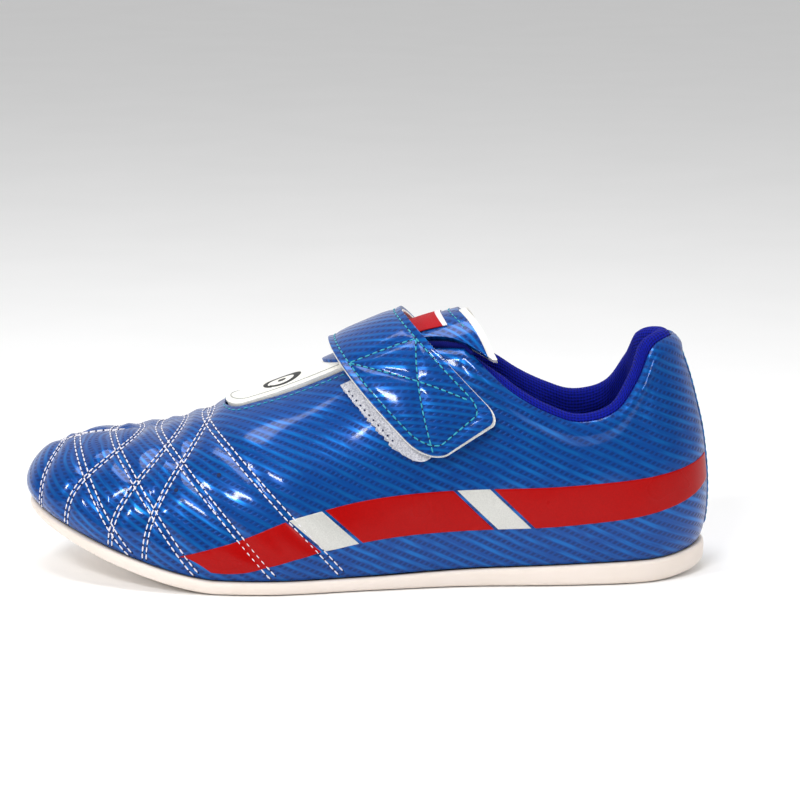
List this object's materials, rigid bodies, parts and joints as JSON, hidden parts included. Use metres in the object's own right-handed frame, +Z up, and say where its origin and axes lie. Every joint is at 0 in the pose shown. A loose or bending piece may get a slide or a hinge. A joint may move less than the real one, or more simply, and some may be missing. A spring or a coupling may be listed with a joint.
{
  "type": "martial arts training shoe",
  "caption": "Low-cut flexible training shoe for the left foot with a quilted toe, padded collar, loose tongue and a hook-and-loop strap across the instep.",
  "frame": {"origin": "on the flat underside of the sole, halfway between the toe and the heel of the sole's footprint", "axes": "+X from toe to heel, -Y towards the outer (lateral) side of this left shoe, +Z up"},
  "size_m": [0.2798, 0.1006, 0.1074],
  "materials": {
    "sole_rubber": "matte off-white moulded rubber",
    "midsole_foam": "closed-cell foam",
    "board": "pressed fibre board",
    "sockliner_foam": "blue knit over foam",
    "upper_blue": "glossy metallic woven-look coating on synthetic leather",
    "strap_blue": "glossy metallic woven-look coating on synthetic leather",
    "strap_backing": "white woven backing",
    "stiffener": "thermoplastic stiffener board",
    "lining_white": "napped lining",
    "lining_blue": "blue knit lining",
    "collar_knit": "blue spacer mesh",
    "foam": "soft open-cell foam",
    "band_red": "satin transfer film",
    "band_silver": "silver transfer film",
    "hook": "woven hook tape",
    "loop": "brushed loop tape",
    "tongue_white": "smooth white synthetic leather",
    "label": "woven label"
  },
  "bodies": {
    "shoe": {"outsole": "sole_rubber", "midsole": "midsole_foam", "insole_board": "board", "sockliner": "sockliner_foam", "vamp": "upper_blue", "vamp_lining": "lining_white", "toe_puff": "stiffener", "lateral_quarter": "upper_blue", "medial_quarter": "upper_blue", "quarter_lining": "lining_blue", "heel_counter": "stiffener", "backstay": "strap_blue", "collar_cover": "collar_knit", "collar_foam": "foam", "strap_anchor_cover": "strap_blue", "strap_anchor_backing": "strap_backing", "loop_tape": "loop", "lateral_red_band_front": "band_red", "lateral_red_band_middle": "band_red", "lateral_red_band_rear": "band_red", "lateral_silver_block_front": "band_silver", "lateral_silver_block_rear": "band_silver", "medial_red_band_front": "band_red", "medial_red_band_middle": "band_red", "medial_red_band_rear": "band_red", "medial_silver_block_front": "band_silver", "medial_silver_block_rear": "band_silver"},
    "strap_bridge": {"strap_bridge_cover": "strap_blue", "strap_bridge_backing": "strap_backing"},
    "strap_flap": {"strap_flap_cover": "strap_blue", "strap_flap_backing": "strap_backing", "hook_tape": "hook"},
    "tongue": {"tongue_shell": "tongue_white", "tongue_foam": "foam", "tongue_lining": "lining_white", "tongue_cover": "strap_blue", "tongue_label": "label"}
  },
  "joints": [
    {"name": "strap_fold", "type": "hinge", "parent": "shoe", "child": "strap_bridge", "pos_m": [0.01054, 0.02836, 0.08519], "axis": [-0.9498, 0.0795, -0.3025], "range_deg": [0, 120]},
    {"name": "strap_peel", "type": "hinge", "parent": "strap_bridge", "child": "strap_flap", "pos_m": [0.00469, -0.02095, 0.09483], "axis": [-0.9378, -0.0101, -0.347], "range_deg": [0, 100]},
    {"name": "tongue_pull", "type": "hinge", "parent": "shoe", "child": "tongue", "pos_m": [-0.05783, 0.00409, 0.06739], "axis": [0, -1, 0], "range_deg": [0, 24]}
  ],
  "couplings": [
    {"joint": "tongue_pull", "follows": "strap_fold", "ratio": 0.2}
  ]
}
